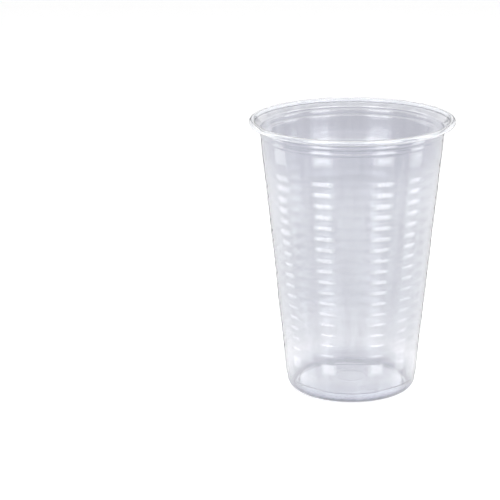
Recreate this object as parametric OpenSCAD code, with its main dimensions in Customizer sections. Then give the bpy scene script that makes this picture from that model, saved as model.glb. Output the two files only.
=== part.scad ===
// Clear disposable drinking cup, thermoformed from one thin plastic sheet.
// The whole cup is one revolved wall. Its section is a path through the middle of the
// sheet, from the centre of the floor, round the foot, up the ribbed wall and over the
// rolled rim, thickened on both sides by half of the local sheet thickness.

/* [Overall] */
// Diameter over the rolled rim
mouth_d = 73; // [64:0.5:90]
// Height from the table to the crown of the rim
height = 99.2; // [75:0.1:130]

/* [Sheet] */
// Thickness of the drawn side wall
wall_t = 0.2; // [0.15:0.01:0.5]
// Thickness of the rim, which is stretched least
lip_t = 0.36; // [0.2:0.01:0.5]
// Thickness of the floor and foot
floor_t = 0.26; // [0.2:0.01:0.5]

/* [Rim] */
// Outside diameter of the rolled edge, seen in section
curl_d = 2.1; // [1.7:0.05:2.8]
// How far the edge is rolled round, in degrees
curl_turn = 275; // [180:5:290]
// Width of the rim outside the neck, on each side
rim_w = 3.9; // [3:0.1:5]
// Drop from the crown to the foot of the funnel under the roll
funnel_h = 2.8; // [2.4:0.1:4]

/* [Neck] */
// Height of the steeper neck under the funnel
neck_h = 8.4; // [6:0.1:12]
// How much the radius shrinks down the neck
neck_draft = 0.65; // [0.2:0.05:1]
// Number of stiffening beads round the neck
bead_count = 2; // [0:1:2]
// Height of each bead
bead_h = 1.4; // [1:0.1:2]
// How far each bead stands out
bead_depth = 0.12; // [0.05:0.01:0.3]
// Spacing of the beads
bead_pitch = 2.1; // [2:0.1:2.8]
// Plain neck left between the top bead and the funnel
bead_gap = 0.3; // [0.3:0.1:0.6]

/* [Wall] */
// Diameter at the bottom of the tapered wall
foot_d = 47.2; // [36:0.2:56]

/* [Ribs] */
// Spacing of the ribs up the wall
rib_pitch = 4.02; // [3:0.01:6]
// Depth of the valleys between the ribs
rib_depth = 0.25; // [0.1:0.01:0.4]
// Height of the plain wall left under the neck
plain_top_h = 4.6; // [2:0.1:12]
// Height of the plain wall left above the table
plain_foot_h = 15; // [8:0.1:25]

/* [Foot] */
// Height of the rounded base under the tapered wall
base_h = 4.8; // [4:0.1:7]
// Step from the wall in to the base
base_step = 0.2; // [0.1:0.05:0.5]
// How much the base narrows down to its corner
base_draft = 0.55; // [0.2:0.05:1]
// Radius of the corner the cup stands on
base_corner = 2.7; // [1.5:0.1:3.2]
// Width of the flat ring the cup stands on
stand_w = 1.2; // [0.8:0.1:2.5]
// Height of the recessed floor above the table
floor_h = 2; // [1:0.1:3.5]
// How much the recess narrows from the ring up to the floor
recess_draft = 0.6; // [0.3:0.1:1.5]
// Diameter of the raised disc at the middle of the floor
disc_d = 11; // [6:0.5:20]
// Height of that disc above the floor
disc_rise = 0.4; // [0.2:0.05:0.8]

/* [Hidden] */
$fn = 180;

// Radius of the small bends in the sheet, and of the soft bend at the top of the taper
bend_r = 0.5;
soft_bend_r = 12;
// Share of a neighbouring straight that a bend may use: most bends, the base's corner,
// the two small bends beside that corner, and the foot of the funnel
bend_share = 0.45;
corner_share = 0.7;
small_share = 0.25;
funnel_share = 0.7;
// Straight pieces in each rib and bead, and the turn of each straight piece round a bend
rib_steps = 6;
arc_step = 15;
// Height over which the plain wall runs in to the first and last valley
rib_run_out = 0.6;
// Height over which the sheet thickens from the wall to the lowest bead
thicken_h = 1.2;

// Heights along the wall, from the rim down
funnel_z = height - funnel_h;
taper_z = funnel_z - neck_h;
rib_top_z = taper_z - plain_top_h;
rib_count = floor((rib_top_z - plain_foot_h) / rib_pitch);
rib_end_z = rib_top_z - rib_count * rib_pitch;
step_z = base_h - 2 * base_step;

// Outside radii of the wall, from the rim down
neck_r = mouth_d / 2 - rim_w;
taper_r = neck_r - neck_draft;
foot_r = foot_d / 2;
base_r = foot_r - base_step;
corner_r = base_r - base_draft;

// The standing ring begins where the base's corner meets the table
corner_angle = 90 + atan(base_draft / step_z);
stand_r = corner_r - base_corner / tan(corner_angle / 2);
recess_r = stand_r - stand_w;

// Small vector helpers
function unit(v) = v / norm(v);
function turned(v) = [-v[1], v[0]];

// Points round a bend of radius r at corner b, between neighbours a and c, kept within
// the given share of the straights on either side
function bend(a, b, c, r, share) =
    let (u = unit(a - b), v = unit(c - b),
         half = acos(u * v) / 2,
         run = min(r / tan(half), share * norm(a - b), share * norm(c - b)),
         centre = b + unit(u + v) * run / cos(half),
         from = b + u * run - centre,
         to = b + v * run - centre,
         turn = 180 - 2 * half,
         n = max(2, ceil(turn / arc_step)))
    [for (i = [0:n])
        centre + (from * sin(turn * (1 - i / n)) + to * sin(turn * i / n)) / sin(turn)];

// Path points, each [place, sheet thickness], round corners first to last of a list whose
// entries are [place, bend radius, share]
function rounded(corners, first, last, t) =
    [for (k = [first:last])
        let (c = corners[k])
        for (p = bend(corners[k - 1][0], c[0], corners[k + 1][0], c[1], c[2])) [p, t]];

// Middle of the sheet at the two ends of the tapered wall
wall_foot = [foot_r - wall_t / 2, base_h];
wall_top = [taper_r - wall_t / 2, taper_z];

// Floor, recess and base, from the axis out and up to the wall
floor_mid = floor_h + floor_t / 2;
disc_mid = floor_mid + disc_rise;
base_corners = [
    [[0, disc_mid]],
    [[disc_d / 2, disc_mid], bend_r, bend_share],
    [[disc_d / 2 + disc_rise, floor_mid], bend_r, bend_share],
    [[recess_r - recess_draft, floor_mid], bend_r, bend_share],
    [[recess_r, floor_t / 2], bend_r, small_share],
    [[corner_r - floor_t / 2, floor_t / 2], base_corner - floor_t / 2, corner_share],
    [[base_r - floor_t / 2, step_z], bend_r, small_share],
    [wall_foot, bend_r, small_share],
    [wall_top]];

// The roll: centre and radius of the sheet's middle, and the funnel's slope up to it
curl_r = (curl_d - lip_t) / 2;
curl_centre = [mouth_d - curl_d, 2 * height - curl_d] / 2;
funnel_foot = [neck_r - lip_t / 2, funnel_z];
to_curl = curl_centre - funnel_foot;
funnel_slope = atan2(to_curl[1], to_curl[0]) + asin(curl_r / norm(to_curl));
curl_start = curl_centre + curl_r * turned([cos(funnel_slope), sin(funnel_slope)]);

// Middle of the neck at height z, where the sheet is t thick, moved out by the given bulge
function neck_at(z, t, bulge) =
    [[taper_r + neck_draft * (z - taper_z) / neck_h - t / 2 + bulge, z], t];

// The neck's beads, from the lowest up: each swells out from the neck and back
bead_top_z = funnel_z - bead_gap;
bead_foot_z = bead_top_z - bead_h - (bead_count - 1) * bead_pitch;
bead_points = bead_count < 1 ? [] :
    [for (k = [0:bead_count - 1]) for (s = [0:rib_steps])
        let (u = s / rib_steps)
        neck_at(bead_foot_z + k * bead_pitch + u * bead_h, lip_t, bead_depth * pow(sin(180 * u), 2))];

// The bends at the foot of the neck and at the foot of the funnel
neck_foot = neck_at(bead_foot_z - thicken_h, wall_t, 0);
neck_end = neck_at(bead_top_z, lip_t, 0);
neck_corners = [[wall_foot], [wall_top, soft_bend_r, bend_share], neck_foot];
funnel_corners = [neck_end, [funnel_foot, bend_r, funnel_share], [curl_start]];

// Middle of the tapered wall at height z, and how far a rib lies inside it at the share u
// of its width: each rib bulges out to the taper, with a sharp valley on either side
function taper_at(z) =
    wall_foot[0] + (wall_top[0] - wall_foot[0]) * (z - base_h) / (taper_z - base_h);
function valley_at(u) = rib_depth * pow(1 - 2 * u, 2);
function plain_at(z) = [[taper_at(z), z], wall_t];
rib_points = rib_count < 1 ? [] : concat(
    [plain_at(rib_end_z - rib_run_out)],
    [for (k = [0:rib_count - 1]) for (s = [0:rib_steps - 1])
        let (u = s / rib_steps, z = rib_end_z + (k + u) * rib_pitch)
        [[taper_at(z) - valley_at(u), z], wall_t]],
    [[[taper_at(rib_top_z) - rib_depth, rib_top_z], wall_t]],
    [plain_at(rib_top_z + rib_run_out)]);

// Round the roll, from the top of the funnel over the crown and back under
curl_steps = ceil(curl_turn / arc_step);
curl_points = [for (i = [0:curl_steps])
    let (a = 90 + funnel_slope - curl_turn * i / curl_steps)
    [curl_centre + curl_r * [cos(a), sin(a)], lip_t]];

path = concat(
    [[base_corners[0][0], floor_t]],
    rounded(base_corners, 1, 6, floor_t),
    rounded(base_corners, 7, 7, wall_t),
    rib_points,
    rounded(neck_corners, 1, 1, wall_t),
    [neck_foot],
    bead_points,
    rounded(funnel_corners, 1, 1, lip_t),
    curl_points);
last_point = len(path) - 1;

// Which way the inside of the sheet lies at path point i, long enough to keep the
// sheet's thickness where the path turns
function across(i) = turned(unit(path[i + 1][0] - path[i][0]));
function inward(i) =
    let (a = across(max(i - 1, 0)), b = across(min(i, last_point - 1)))
    (a + b) / (1 + a * b);

// The cup: floor, foot, ribbed wall and rolled rim, all one sheet
module cup() {
    color([0.86, 0.88, 0.93, 0.5])
    rotate_extrude()
    polygon(concat(
        [for (i = [0:last_point]) path[i][0] - inward(i) * path[i][1] / 2],
        [for (i = [last_point:-1:0]) path[i][0] + inward(i) * path[i][1] / 2]));
}

cup();
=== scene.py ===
# %% [markdown]
# A clear disposable drinking cup. The real one starts as a flat sheet of polypropylene about
# a millimetre thick. It is heated, pushed down into a cold metal mould by a plug, and cut out,
# and then its edge is rolled over. So the whole cup is one thin skin, and everything that
# makes it look like a cup is in the section of that skin and in how light passes it.
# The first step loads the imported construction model. It fixes the size and place of
# everything that follows.

# %% Load the frame
import math

import bmesh
import bpy
from mathutils import Matrix, Vector


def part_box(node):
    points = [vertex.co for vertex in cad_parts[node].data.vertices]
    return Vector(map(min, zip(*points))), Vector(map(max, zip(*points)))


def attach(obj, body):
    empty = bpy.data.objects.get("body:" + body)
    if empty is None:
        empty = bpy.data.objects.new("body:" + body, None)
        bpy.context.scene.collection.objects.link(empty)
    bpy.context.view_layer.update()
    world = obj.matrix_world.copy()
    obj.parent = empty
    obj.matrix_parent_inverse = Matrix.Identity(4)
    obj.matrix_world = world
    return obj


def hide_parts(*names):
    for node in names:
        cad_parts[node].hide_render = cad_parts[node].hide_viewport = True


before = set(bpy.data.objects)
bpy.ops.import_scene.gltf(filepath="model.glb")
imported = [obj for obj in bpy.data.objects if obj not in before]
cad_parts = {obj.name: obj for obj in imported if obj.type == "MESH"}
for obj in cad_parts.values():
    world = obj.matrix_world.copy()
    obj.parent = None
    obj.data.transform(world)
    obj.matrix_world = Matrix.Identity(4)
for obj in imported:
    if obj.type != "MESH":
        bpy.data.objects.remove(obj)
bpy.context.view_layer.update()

# %% [markdown]
# Blender works in metres, and a cup is drawn in millimetres, so one factor turns the one
# into the other. The loaded model is still selected, and an operator acts on all that is
# selected, so everything is deselected before anything new is made.

# %% Units, and a clean selection
MM = 0.001
bpy.ops.object.select_all(action="DESELECT")
cup_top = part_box("cup")[1]
rim_r = cup_top.x / MM
height = cup_top.z / MM
print(f"rim radius {rim_r:.2f} mm, height {height:.2f} mm")

# %% [markdown]
# The camera comes first, because every later choice is judged through it. A cup gives its
# own camera away: its circles show as ellipses, and how round each one looks tells how far
# the camera looks down on it. The rim and the foot together give the distance.

# %% Camera
camera_distance = 690.5 * MM
camera_elevation = math.radians(16.72)
look_down = math.radians(16.51)
look_left = math.radians(3.17)
camera_roll = math.radians(-0.61)
sensor_width = 36
focal_length = 137.6
aim_height = 48 * MM

bpy.ops.object.camera_add()
camera = bpy.context.object
camera.data.sensor_width = sensor_width
camera.data.lens = focal_length
turn = (
    Matrix.Rotation(look_left, 4, "Z")
    @ Matrix.Rotation(math.radians(90) - look_down, 4, "X")
    @ Matrix.Rotation(camera_roll, 4, "Z")
)
place = Vector((
    0,
    -camera_distance * math.cos(camera_elevation),
    aim_height + camera_distance * math.sin(camera_elevation),
))
camera.matrix_world = Matrix.Translation(place) @ turn
bpy.context.scene.camera = camera
print("camera at", [round(v, 4) for v in place])

# %% [markdown]
# The section is the cup cut in half, seen from the side. The cup is a turned shape, so this
# one line is all that has to be drawn. The line runs through the middle of the sheet. It
# is made the way one would draw it by hand: start from one point on the axis, and extrude
# that point from corner to corner. Blender adds no single point by itself, so a small
# triangle is added and merged into one. A helper keeps the place of the newest point, the tip.

# %% Start the section with one point
wall_t = 0.2
lip_t = 0.36
floor_t = 0.26
floor_h = 2.0
disc_rise = 0.4
floor_mid = floor_h + floor_t / 2
disc_mid = floor_mid + disc_rise

bpy.ops.mesh.primitive_circle_add(vertices=3, radius=MM, location=(0, 0, 0))
cup = bpy.context.object
cup.name = "cup_shell"
cup.data.name = "cup_shell"
bpy.ops.object.mode_set(mode="EDIT")
bpy.ops.mesh.select_all(action="SELECT")
bpy.ops.mesh.merge(type="CENTER")
bpy.ops.transform.translate(value=(0, 0, disc_mid * MM))
tip = Vector((0, disc_mid))


def line_to(x, z):
    """Extrudes the tip of the section to a new place, in millimetres."""
    global tip
    step = Vector((x, z)) - tip
    bpy.ops.mesh.extrude_region_move(
        TRANSFORM_OT_translate={"value": (step.x * MM, 0, step.y * MM)}
    )
    tip = Vector((x, z))


print("section starts at height", disc_mid, "mm")

# %% [markdown]
# The floor is lifted off the table, so that the cup stands on a ring and doesn't rock. A low
# disc in its middle stiffens it. Outside the ring the sheet turns up round a large corner,
# and where the base ends a small step runs round the cup.

# %% Floor and base
disc_r = 5.5
foot_r = 23.6
base_h = 4.8
base_step = 0.2
base_draft = 0.55
base_corner = 2.7
stand_w = 1.2
recess_draft = 0.6
step_z = base_h - 2 * base_step
base_r = foot_r - base_step
corner_r = base_r - base_draft
corner_angle = math.radians(90) + math.atan(base_draft / step_z)
stand_r = corner_r - base_corner / math.tan(corner_angle / 2)
recess_r = stand_r - stand_w

base_corners = [
    (disc_r, disc_mid),
    (disc_r + disc_rise, floor_mid),
    (recess_r - recess_draft, floor_mid),
    (recess_r, floor_t / 2),
    (corner_r - floor_t / 2, floor_t / 2),
    (base_r - floor_t / 2, step_z),
    (foot_r - wall_t / 2, base_h),
]
for x, z in base_corners:
    line_to(x, z)
print("standing ring from radius", round(recess_r, 2), "to", round(stand_r, 2), "mm")

# %% [markdown]
# The side wall is a taper, so that cups stack. The heights of its parts are counted down
# from the rim: funnel, neck, plain wall, ribs. Two helpers are made here. One gives the
# middle of the plain wall at a height. The other draws an arc with the tip, with the Spin
# operator, which copies a point round a centre and joins the copies.

# %% Heights up the wall, and an arc
funnel_h = 2.8
neck_h = 8.4
neck_draft = 0.65
rim_w = 3.9
plain_top_h = 4.6
funnel_foot_z = height - funnel_h
taper_top = funnel_foot_z - neck_h
neck_r = rim_r - rim_w
wall_foot = Vector((foot_r - wall_t / 2, base_h))
wall_head = Vector((neck_r - neck_draft - wall_t / 2, taper_top))
up_wall = (wall_head - wall_foot).normalized()
out_of_wall = Vector((up_wall.y, -up_wall.x))


def taper_at(z):
    """Middle of the plain tapered sheet at height z."""
    return wall_foot + up_wall * (z - base_h) / up_wall.y


def swing(centre, degrees, steps):
    """Draws an arc with the tip, by spinning it about a centre. Anticlockwise is positive."""
    global tip
    bpy.ops.mesh.spin(
        steps=steps,
        angle=math.radians(degrees),
        center=(centre.x * MM, 0, centre.y * MM),
        axis=(0, 1, 0),
        use_auto_merge=False,
    )
    arm = tip - centre
    tip = centre + Matrix.Rotation(math.radians(degrees), 2) @ arm


print(f"the taper ends at {taper_top:.1f} mm")

# %% [markdown]
# Seventeen shallow ribs are pressed into the wall. They let a sheet thinner than a fingernail
# keep its shape in the hand. Each rib bulges out between two sharp valleys, and in section it
# is an arc, whose radius follows from its width and its depth.

# %% Ribs
rib_pitch = 4.02
rib_depth = 0.25
rib_count = 17
rib_steps = 6
rib_run_out = 0.6
rib_top = taper_top - plain_top_h
rib_bottom = rib_top - rib_count * rib_pitch

chord = rib_pitch / up_wall.y
rib_r = chord * chord / (8 * rib_depth) + rib_depth / 2
rib_angle = 2 * math.degrees(math.asin(chord / 2 / rib_r))
line_to(*taper_at(rib_bottom - rib_run_out))
valley = taper_at(rib_bottom) - out_of_wall * rib_depth
line_to(*valley)
for rib in range(rib_count):
    middle = valley + up_wall * (rib + 0.5) * chord
    swing(middle - out_of_wall * (rib_r - rib_depth), rib_angle, rib_steps)
line_to(*taper_at(rib_top + rib_run_out))
print(f"ribs from {rib_bottom:.1f} to {rib_top:.1f} mm, arc radius {rib_r:.1f} mm")

# %% [markdown]
# Above the ribs the wall runs on plain, and then the neck begins, which is a little steeper.
# Just under the funnel it has two small beads. They swell out by a tenth of a millimetre and
# stiffen the neck, and each one shows as a fine bright line.

# %% Neck with two beads
bead_count = 2
bead_h = 1.4
bead_depth = 0.12
bead_pitch = 2.1
bead_gap = 0.3
bead_steps = 8
thicken_h = 1.2
bead_top = funnel_foot_z - bead_gap
bead_foot = bead_top - bead_h - (bead_count - 1) * bead_pitch


def neck_at(z, t, bulge=0):
    """Middle of the sheet in the neck at height z, where the sheet is t thick."""
    drop = (funnel_foot_z - z) / neck_h
    return Vector((neck_r - neck_draft * drop - t / 2 + bulge, z))


neck_foot = neck_at(bead_foot - thicken_h, wall_t)
line_to(*wall_head)
line_to(*neck_foot)
line_to(*neck_at(bead_foot, lip_t))
for bead in range(bead_count):
    foot = bead_foot + bead * bead_pitch
    if bead:
        line_to(*neck_at(foot, lip_t))
    for step in range(1, bead_steps + 1):
        u = step / bead_steps
        line_to(*neck_at(foot + u * bead_h, lip_t, bead_depth * math.sin(math.pi * u) ** 2))
line_to(*neck_at(funnel_foot_z, lip_t))
print(f"beads from {bead_foot:.1f} to {bead_top:.1f} mm")

# %% [markdown]
# The lip opens like a funnel, and the edge of the sheet is rolled over outwards, so that no
# sharp edge meets the mouth. The roll is a part of a circle, so the tip is spun about its
# centre. The funnel is the straight line that meets this circle without a kink.

# %% Funnel and roll
curl_d = 2.1
curl_turn = 275
curl_steps = 22
curl_r = (curl_d - lip_t) / 2
curl_centre = Vector((rim_r - curl_d / 2, height - curl_d / 2))
reach = curl_centre - tip
slope = math.atan2(reach.y, reach.x) + math.asin(curl_r / reach.length)
curl_start = curl_centre + curl_r * Vector((-math.sin(slope), math.cos(slope)))
line_to(*curl_start)
swing(curl_centre, -curl_turn, curl_steps)
print(f"lip slopes {math.degrees(slope):.0f} degrees, roll {curl_d} mm across")

# %% [markdown]
# A drawn sheet has no sharp bends. Bevel with Vertices rounds the corners of a line: it cuts
# each corner off at the same distance on both sides and fills in an arc. That distance
# follows from the radius of the bend and the angle of the corner. Where two bends are close
# neighbours, each may use only a share of the straight between them.

# %% Round the bends
small_bend = 0.5
taper_bend = 12
bend_share, corner_share, small_share, funnel_share = 0.45, 0.7, 0.25, 0.7
bend_segments, corner_segments, taper_segments = 5, 9, 3
near = 0.01


def round_corner(before, corner, after, radius, share, segments):
    """Rounds one corner of the section. Share is the most of a straight that it may use."""
    a = Vector(before) - Vector(corner)
    b = Vector(after) - Vector(corner)
    back = radius / math.tan(a.angle(b) / 2)
    back = min(back, share * a.length, share * b.length)
    sheet = bmesh.from_edit_mesh(cup.data)
    for v in sheet.verts:
        off = Vector((v.co.x / MM - corner[0], v.co.z / MM - corner[1]))
        v.select = off.length < near
    sheet.select_flush_mode()
    bmesh.update_edit_mesh(cup.data)
    bpy.ops.mesh.bevel(
        offset_type="OFFSET",
        offset=back * MM,
        segments=segments,
        profile=0.5,
        affect="VERTICES",
    )


line = [(0, disc_mid)] + base_corners + [tuple(taper_at(rib_bottom - rib_run_out))]
wide_bend = (small_bend, bend_share, bend_segments)
tight_bend = (small_bend, small_share, bend_segments)
standing_corner = (base_corner - floor_t / 2, corner_share, corner_segments)
bends = [wide_bend] * 3 + [tight_bend, standing_corner] + [tight_bend] * 2
for k, bend in enumerate(bends, start=1):
    round_corner(line[k - 1], line[k], line[k + 1], *bend)
round_corner(
    taper_at(rib_top + rib_run_out), wall_head, neck_foot,
    taper_bend, bend_share, taper_segments,
)
round_corner(
    neck_at(bead_top, lip_t), neck_at(funnel_foot_z, lip_t), curl_start,
    small_bend, funnel_share, bend_segments,
)
print("points in the section:", len(bmesh.from_edit_mesh(cup.data).verts))

# %% [markdown]
# Spin turns the line into the skin. It makes a copy of the section at each step and joins
# neighbours with faces. The first and last copy lie on each other, and all copies meet at
# the axis, so doubles are merged. The faces may point inwards after a spin, and they are
# turned outwards now, while the skin still has one side only.

# %% Spin the skin
sides = 180
merge_distance = 0.001
bpy.ops.mesh.select_all(action="SELECT")
bpy.ops.mesh.spin(
    steps=sides, angle=math.tau, center=(0, 0, 0), axis=(0, 0, 1), use_auto_merge=True
)
bpy.ops.mesh.select_all(action="SELECT")
bpy.ops.mesh.remove_doubles(threshold=merge_distance * MM)
bpy.ops.mesh.normals_make_consistent(inside=False)
bpy.ops.object.mode_set(mode="OBJECT")
print("skin:", len(cup.data.vertices), "points,", len(cup.data.polygons), "faces")

# %% [markdown]
# No thin cup is quite round. The sheet cools unevenly and springs back a little, and that
# bends every reflection. A Displace modifier with a soft cloud texture pushes the wall in
# and out by up to 0.3 mm. A vertex group sets how much each place may move. The foot and
# the rim are held still, because the foot stands flat and the roll is stiff. The left side
# moves most, since the photo's highlights are least regular there. The wall is moved before
# it has its thickness, so both faces of the sheet move together.

# %% Let the wall waver
waver = 0.6
waver_size = 17
calm_share = 0.4
calm_edge, loose_edge = 5, 25
hold_foot = (5, 16)
hold_rim = (height - 16, height - 7)


def ramp(value, start, end):
    """0 below start, 1 above end, and a smooth rise between them."""
    t = min(max((value - start) / (end - start), 0), 1)
    return t * t * (3 - 2 * t)


free = cup.vertex_groups.new(name="free_wall")
for v in cup.data.vertices:
    z = v.co.z / MM
    loose = calm_share + (1 - calm_share) * ramp(-v.co.x / MM, calm_edge, loose_edge)
    free.add([v.index], loose * ramp(z, *hold_foot) * (1 - ramp(z, *hold_rim)), "REPLACE")

clouds = bpy.data.textures.new("slow_waves", "CLOUDS")
clouds.noise_scale = waver_size * MM
clouds.noise_depth = 1
waves = cup.modifiers.new("waver", "DISPLACE")
waves.texture = clouds
waves.texture_coords = "LOCAL"
waves.vertex_group = "free_wall"
waves.mid_level = 0.5
waves.strength = waver * MM
bpy.ops.object.modifier_apply(modifier="waver")
print("wall wavers by up to", waver / 2, "mm")

# %% [markdown]
# Solidify gives the skin its real thickness, half to each side of the drawn line. The sheet
# is stretched most in the wall and least at the rim, so a vertex group scales the thickness:
# full at the rim, a little over half in the wall, and nearly three quarters in the floor.
# Towards the neck it grows slowly, because a sudden change would bend the view like a prism.

# %% Thickness
thicken_from = taper_top - 6
smooth_below = math.radians(50)
sheet_weights = cup.vertex_groups.new(name="thickness")
for v in cup.data.vertices:
    z = v.co.z / MM
    t = floor_t + (wall_t - floor_t) * ramp(z, step_z, base_h)
    t += (lip_t - wall_t) * ramp(z, thicken_from, bead_foot)
    sheet_weights.add([v.index], t / lip_t, "REPLACE")

solid = cup.modifiers.new("thickness", "SOLIDIFY")
solid.thickness = lip_t * MM
solid.offset = 0
solid.use_even_offset = True
solid.vertex_group = "thickness"
bpy.ops.object.modifier_apply(modifier="thickness")
bpy.ops.object.shade_smooth_by_angle(angle=smooth_below)
triangles = sum(len(p.vertices) - 2 for p in cup.data.polygons)
print("shell:", triangles, "triangles")

# %% [markdown]
# A material is a small network of nodes. One helper adds a node, sets its values and links
# its inputs. A colour ramp, which gives a smooth run of colours along a value from 0 to 1,
# also gets its stops there. Colours are chosen as sRGB hex values, as a paint program shows
# them, and a second helper turns them into the linear values that Blender mixes light with.

# %% Helpers for materials


def linear(hex_colour):
    """sRGB hex to a linear colour with alpha."""
    parts = [int(hex_colour[i : i + 2], 16) / 255 for i in (1, 3, 5)]
    return [p / 12.92 if p <= 0.04045 else ((p + 0.055) / 1.055) ** 2.4 for p in parts] + [1]


def add_node(tree, kind, settings=None, stops=(), **inputs):
    """Adds a node. A setting is a property, an input is a value or another socket, and the
    stops of a colour ramp are places and linear colours, lowest first."""
    node = tree.nodes.new(kind)
    for name, value in (settings or {}).items():
        setattr(node, name, value)
    for k, (spot_at, colour) in enumerate(stops):
        if k > 1:
            node.color_ramp.elements.new(1)
        node.color_ramp.elements[k].position = spot_at
        node.color_ramp.elements[k].color = colour
    for name, value in inputs.items():
        socket = node.inputs[int(name[1:]) if name[1:].isdigit() else name.replace("_", " ")]
        if isinstance(value, bpy.types.NodeSocket):
            tree.links.new(value, socket)
        else:
            socket.default_value = value
    return node


def new_tree(block):
    """Empties the node tree of a material or world and returns it."""
    block.use_nodes = True
    block.node_tree.nodes.clear()
    return block.node_tree


print("white is", linear("#ffffff"))

# %% [markdown]
# The plastic is polypropylene, pressed by air against a cold, polished mould. That gives a
# clear sheet with sharp highlights. It isn't perfect: a plug drags the hot sheet down the
# mould, and leaves faint streaks that run up the wall. A noise texture that is stretched in
# height gives such streaks, here about 3 mm wide. They change the gloss a little, and a Bump
# node turns them into a slight unevenness of the surface.

# %% Streaks, gloss and bump
plastic = bpy.data.materials.new("thermoformed_polypropylene")
tree = new_tree(plastic)
out = add_node(tree, "ShaderNodeOutputMaterial")
where = add_node(tree, "ShaderNodeTexCoord")
streak_width = 3 * MM
streak_stretch = 0.08
low_noise, high_noise = 0.3, 0.7
smoothest, roughest = 0.03, 0.08
bump_strength = 0.1
bump_depth = 0.02 * MM
stretched = add_node(
    tree, "ShaderNodeVectorMath", {"operation": "MULTIPLY"},
    _0=where.outputs["Object"], _1=(1, 1, streak_stretch),
)
streaks = add_node(
    tree, "ShaderNodeTexNoise",
    Vector=stretched.outputs[0], Scale=1 / streak_width, Detail=3,
)
gloss = add_node(
    tree, "ShaderNodeMapRange", Value=streaks.outputs["Fac"],
    _1=low_noise, _2=high_noise, _3=smoothest, _4=roughest,
)
bump = add_node(
    tree, "ShaderNodeBump",
    Height=streaks.outputs["Fac"], Strength=bump_strength, Distance=bump_depth,
)
print("streaks about", streak_width / MM, "mm wide")

# %% [markdown]
# Clear polypropylene isn't quite clear. It has a cool grey haze, and the colour follows the
# height, given here in millimetres over the table. Part of that colour is painted shade. The
# darkest stop, at the corner that the cup stands on, paints the shade under the foot. The
# deeper grey from below the neck up to the funnel paints shade on the upper wall and in the
# view into the mouth. The lightest stop lies just above the foot.

# %% Haze and painted shade up the wall
# Painted shade: the first stop darkens the corner under the foot, and the stops from 86 to 95.5
# mm darken the top of the wall.
haze_and_painted_shade_stops = [
    (0, "#a4a5ae"), (3, "#dcdde2"), (8, "#fafafb"), (25, "#e0e1e5"), (60, "#e0e1e5"),
    (72, "#e4e5e9"), (80, "#e1e2e7"), (86, "#d8d9df"), (95.5, "#d4d5db"), (97.5, "#dcdde2"),
]
darkest_streak = 0.93
place_in_cup = add_node(tree, "ShaderNodeSeparateXYZ", Vector=where.outputs["Object"])
height_share = add_node(
    tree, "ShaderNodeMapRange", Value=place_in_cup.outputs["Z"],
    _1=0, _2=height * MM, _3=0, _4=1,
)
haze_and_painted_shade = add_node(
    tree, "ShaderNodeValToRGB", Fac=height_share.outputs[0],
    stops=[(z / height, linear(colour)) for z, colour in haze_and_painted_shade_stops],
)
streak_shade = add_node(
    tree, "ShaderNodeMapRange", Value=streaks.outputs["Fac"],
    _1=low_noise, _2=high_noise, _3=darkest_streak, _4=1,
)
wall_colour = add_node(
    tree, "ShaderNodeVectorMath", {"operation": "SCALE"},
    _0=haze_and_painted_shade.outputs["Color"], Scale=streak_shade.outputs[0],
)
print("haze from", haze_and_painted_shade_stops[0][1], "at the table to", haze_and_painted_shade_stops[-1][1], "at the rim")

# %% [markdown]
# Two places get a lighter colour than the wall at their height: the outer part of the floor,
# with the step up to it, and the roll. On the roll this is painted light, which stands for the
# bright band that light makes in the roll. They differ from the wall in how far they lie from
# the axis, so the length of the level part of the position tells them apart. Each stop is a
# radius in millimetres and a share of the lighter colour.

# %% Lighter floor, and painted light on the roll
lighter_floor_and_painted_roll_light = "#f3f4f6"
# Painted light: the stops from 33.9 mm outwards light up the roll.
lighter_floor_and_painted_roll_light_stops = [
    (0, 0.1), (12, 0.15), (18, 0.8), (18.6, 1), (19.2, 1), (20, 0), (33.9, 0), (34.6, 1),
]
level = add_node(
    tree, "ShaderNodeVectorMath", {"operation": "MULTIPLY"},
    _0=where.outputs["Object"], _1=(1, 1, 0),
)
radius = add_node(tree, "ShaderNodeVectorMath", {"operation": "LENGTH"}, _0=level.outputs[0])
radius_share = add_node(
    tree, "ShaderNodeMapRange", Value=radius.outputs["Value"],
    _1=0, _2=rim_r * MM, _3=0, _4=1,
)
lighter_floor_and_painted_roll_light_share = add_node(
    tree, "ShaderNodeValToRGB", Fac=radius_share.outputs[0],
    stops=[(r / rim_r, (c, c, c, 1)) for r, c in lighter_floor_and_painted_roll_light_stops],
)
colour = add_node(
    tree, "ShaderNodeMix", {"data_type": "RGBA"},
    Factor=lighter_floor_and_painted_roll_light_share.outputs["Color"],
    _6=wall_colour.outputs[0], _7=linear(lighter_floor_and_painted_roll_light),
)
print("clear stops, mm from the axis:", [r for r, _ in lighter_floor_and_painted_roll_light_stops])

# %% [markdown]
# Principled BSDF is a shader for nearly everything. Transmission lets light through, and a
# little less than 1 keeps a slight milkiness. The IOR of polypropylene, 1.49, sets how strong
# the reflections are. Coat adds a soft sheen round the sharp ones. Clear things cast hard
# black shadows in Cycles unless shadow rays are let through, so for those a tinted
# Transparent shader takes over.

# %% Clear plastic shader
body = add_node(
    tree, "ShaderNodeBsdfPrincipled",
    Base_Color=colour.outputs[2], Roughness=gloss.outputs[0], Normal=bump.outputs[0],
    IOR=1.49, Transmission_Weight=0.93, Coat_Weight=0.45, Coat_Roughness=0.3,
)
shadow = add_node(tree, "ShaderNodeBsdfTransparent", Color=linear("#e6e8ef"))
ray = add_node(tree, "ShaderNodeLightPath")
both = add_node(
    tree, "ShaderNodeMixShader",
    _0=ray.outputs["Is Shadow Ray"], _1=body.outputs[0], _2=shadow.outputs[0],
)
tree.links.new(both.outputs[0], out.inputs["Surface"])
cup.data.materials.append(plastic)
print("material:", plastic.name)

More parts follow.
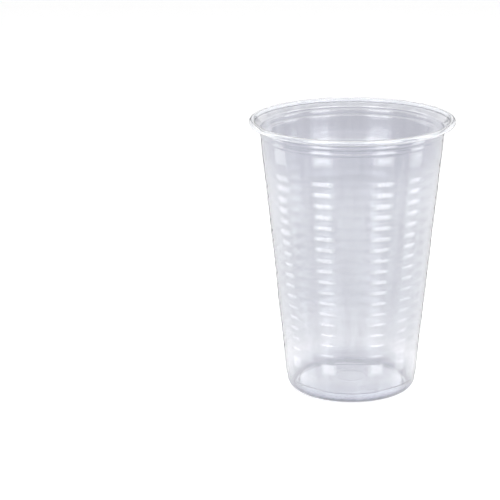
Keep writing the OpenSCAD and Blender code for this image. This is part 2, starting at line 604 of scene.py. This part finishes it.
# %% [markdown]
# The photo's cup stands on white with hardly any shadow. The floor is a white sheet of paper
# that the lamps light as they light the cup. Only where the camera looks at it, straight or
# through the cup, some white is added, and a faint shadow stays. Reflections don't show it.
# They show the room instead, which is set up in the next cell.

# %% White floor
floor_size = 8
floor_lift = 0.6
bpy.ops.mesh.primitive_plane_add(size=floor_size, location=(0, 0, 0))
floor = bpy.context.object
floor.name = "floor"
paper = bpy.data.materials.new("white_paper")
tree = new_tree(paper)
out = add_node(tree, "ShaderNodeOutputMaterial")
ray = add_node(tree, "ShaderNodeLightPath")
lit = add_node(tree, "ShaderNodeBsdfDiffuse", Color=linear("#e6e6e6"))
glow = add_node(tree, "ShaderNodeEmission", Color=linear("#ffffff"), Strength=floor_lift)
lifted = add_node(tree, "ShaderNodeAddShader", _0=lit.outputs[0], _1=glow.outputs[0])
seen = add_node(
    tree, "ShaderNodeMath", {"operation": "MAXIMUM"},
    _0=ray.outputs["Is Camera Ray"], _1=ray.outputs["Is Transmission Ray"],
)
pick = add_node(
    tree, "ShaderNodeMixShader", _0=seen.outputs[0], _1=lit.outputs[0], _2=lifted.outputs[0]
)
tree.links.new(pick.outputs[0], out.inputs["Surface"])
floor.data.materials.append(paper)
floor.visible_glossy = False
print("floor", [round(side, 2) for side in floor.dimensions], "m")

# %% [markdown]
# A clear, glossy thing is drawn by what it mirrors, so the room matters as much as the
# plastic. What the cup mirrors is made first: a room that is lighter below and above, with a
# dark zone near eye height. On the near side of the cup, the plain wall mirrors the lighter
# zone below, and the upper part of each rib the dark one. Each stop is an angle over the
# table, in degrees, and a grey. From halfway between the camera and the cup's sides the room
# turns lighter, and behind the cup all of it is white.

# %% The room that the cup mirrors
white_from, white_to = -0.7, 0
room_stops = [
    (-90, 0.4), (-17, 0.4), (-12, 0.03), (2, 0.03), (8, 0.6), (30, 0.6), (50, 0.25),
]
world = bpy.data.worlds.new("studio")
bpy.context.scene.world = world
tree = new_tree(world)
out = add_node(tree, "ShaderNodeOutputWorld")
ray = add_node(tree, "ShaderNodeLightPath")
direction = add_node(tree, "ShaderNodeTexCoord")
axes = add_node(tree, "ShaderNodeSeparateXYZ", Vector=direction.outputs["Generated"])
rise = add_node(
    tree, "ShaderNodeMapRange", Value=axes.outputs["Z"], _1=-1, _2=1, _3=0, _4=1
)
front = add_node(
    tree, "ShaderNodeValToRGB", Fac=rise.outputs[0],
    stops=[((math.sin(math.radians(up)) + 1) / 2, (g, g, g, 1)) for up, g in room_stops],
)
behind = add_node(
    tree, "ShaderNodeMapRange", Value=axes.outputs["Y"],
    _1=white_from, _2=white_to, _3=0, _4=1,
)
mirrored = add_node(
    tree, "ShaderNodeMix", {"data_type": "RGBA"},
    Factor=behind.outputs[0], _6=front.outputs["Color"], _7=linear("#ffffff"),
)
print("room from", room_stops[0], "to", room_stops[-1])

# %% [markdown]
# Light Path tells which kind of ray asks, and each kind gets its own answer. Camera and
# transmission rays meet a white backdrop, at a strength of 1. Glossy rays meet the room of
# the last cell. All other rays, which light the cup and the floor, meet an even, dim room.

# %% Which ray sees what
room_light = 0.35
dim = add_node(tree, "ShaderNodeBackground", Color=linear("#ffffff"), Strength=room_light)
mirror = add_node(tree, "ShaderNodeBackground", Color=mirrored.outputs[2], Strength=1)
backdrop = add_node(tree, "ShaderNodeBackground", Color=linear("#ffffff"), Strength=1)
seen = add_node(
    tree, "ShaderNodeMath", {"operation": "MAXIMUM"},
    _0=ray.outputs["Is Camera Ray"], _1=ray.outputs["Is Transmission Ray"],
)
inside = add_node(
    tree, "ShaderNodeMixShader",
    _0=ray.outputs["Is Glossy Ray"], _1=dim.outputs[0], _2=mirror.outputs[0],
)
pick = add_node(
    tree, "ShaderNodeMixShader",
    _0=seen.outputs[0], _1=inside.outputs[0], _2=backdrop.outputs[0],
)
tree.links.new(pick.outputs[0], out.inputs["Surface"])
print("world:", world.name)

# %% [markdown]
# Tall softboxes light the cup from both sides of the camera. Each one draws a column of short
# highlights down the ribs, one to a rib, because a rib mirrors it at one height only. Four
# lamps light the cup and the floor. The others only add highlights, and give no diffuse
# light. Cycles adds up lamps that stand behind each other in a reflection, but of two in one
# plane it shows only one, so the glints stand at distances of their own. Directions are in
# degrees, seen from the cup: a bearing from the camera towards the right of the picture, the
# lowest and the highest angle over the table, and the width. Far is a distance in metres.

# %% Softboxes
cup_middle = Vector((0, 0, 50 * MM))


def facing(bearing, low, high, spread, far):
    """Place, turn, width and height of a panel that faces the cup."""
    angle = math.radians(bearing - 90)
    up = math.radians((low + high) / 2)
    aim = Vector((math.cos(angle) * math.cos(up), math.sin(angle) * math.cos(up), math.sin(up)))
    wide, tall = (2 * far * math.tan(math.radians(a) / 2) for a in (spread, high - low))
    turn = (math.radians(90) - up, 0, angle + math.radians(90))
    return aim * far + cup_middle, turn, wide, tall


def softbox(name, bearing, low, high, spread, brightness, far=0.9, glint=False):
    """A rectangular lamp that looks as bright as a surface of the given brightness."""
    place, turn, wide, tall = facing(bearing, low, high, spread, far)
    bpy.ops.object.light_add(type="AREA", location=place, rotation=turn)
    lamp = bpy.context.object
    lamp.name = name
    lamp.data.shape = "RECTANGLE"
    lamp.data.size = wide
    lamp.data.size_y = tall
    lamp.data.energy = brightness * math.pi * wide * tall
    lamp.visible_camera = False
    lamp.visible_diffuse = not glint


softbox("left_front", -37, -21, 70, 34, 1.7)
softbox("right_front", 41, -21, 70, 34, 1.7)
softbox("left_glint", -37, -19, 70, 24, 2.6, far=0.8, glint=True)
softbox("right_glint", 42, -19, 70, 23, 2.6, far=0.8, glint=True)
softbox("high_front", 0, 22, 65, 50, 2.2, far=0.7, glint=True)
softbox("low_front", 0, 3, 12, 110, 2.2, far=0.6, glint=True)
softbox("left_wall", -112, -60, 60, 60, 0.3, far=1, glint=True)
softbox("right_wall", 112, -60, 60, 60, 0.3, far=1, glint=True)
softbox("right_side", 88, -21, 50, 24, 1.4)
softbox("right_edge", 88, -15, 50, 20, 1.8, far=0.8, glint=True)
softbox("left_side", -104, -21, 50, 24, 1.2)
softbox("left_edge", -102, -17, 50, 20, 0.8, far=0.8, glint=True)

# %% [markdown]
# Clear things on white lose their outline, and photographers bring it back with black cards.
# Two of them stand behind the cup, left and right, where the camera itself doesn't see them.
# The outermost sides of the cup mirror them as a thin dark line. A third card is grey and
# lies on the floor far behind the cup, where only the view through the mouth meets it. In
# the photo the cup looks greyer through its mouth than through its wall, as it would before
# a grey ground, and the card stands for that. None of the cards throws light or a shadow.

# %% Black and grey cards


def make_card(card, name, shader, colour, mirrored):
    """Makes a mesh a card that shows only in the cup's reflections, or only through it."""
    card.name = name
    card_material = bpy.data.materials.new(name)
    tree = new_tree(card_material)
    out = add_node(tree, "ShaderNodeOutputMaterial")
    face = add_node(tree, shader, Color=linear(colour))
    tree.links.new(face.outputs[0], out.inputs["Surface"])
    card.data.materials.append(card_material)
    card.visible_camera = False
    card.visible_diffuse = False
    card.visible_shadow = False
    card.visible_glossy = mirrored
    card.visible_transmission = not mirrored
    print(name, "at", [round(v, 3) for v in card.location], "m")


for name, bearing in (("left_black_card", -167), ("right_black_card", 167)):
    place, turn, wide, tall = facing(bearing, low=-24, high=60, spread=10, far=1.2)
    bpy.ops.mesh.primitive_plane_add(size=1, location=place, rotation=turn)
    bpy.context.object.scale = (wide, tall, 1)
    make_card(bpy.context.object, name, "ShaderNodeBsdfDiffuse", "#181818", mirrored=True)

grey_card_r = 55 * MM
grey_card_place = (0, 432 * MM, 1 * MM)
bpy.ops.mesh.primitive_circle_add(
    vertices=64, fill_type="NGON", radius=grey_card_r, location=grey_card_place
)
make_card(bpy.context.object, "grey_card", "ShaderNodeEmission", "#dcdce1", mirrored=False)

# %% [markdown]
# The shell stands for the imported cup, which is hidden, and rides on its one body. The view
# transform is Standard, so that a colour renders as it is written.

# %% Finish
bpy.context.scene.view_settings.view_transform = "Standard"
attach(cup, "root")
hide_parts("cup")
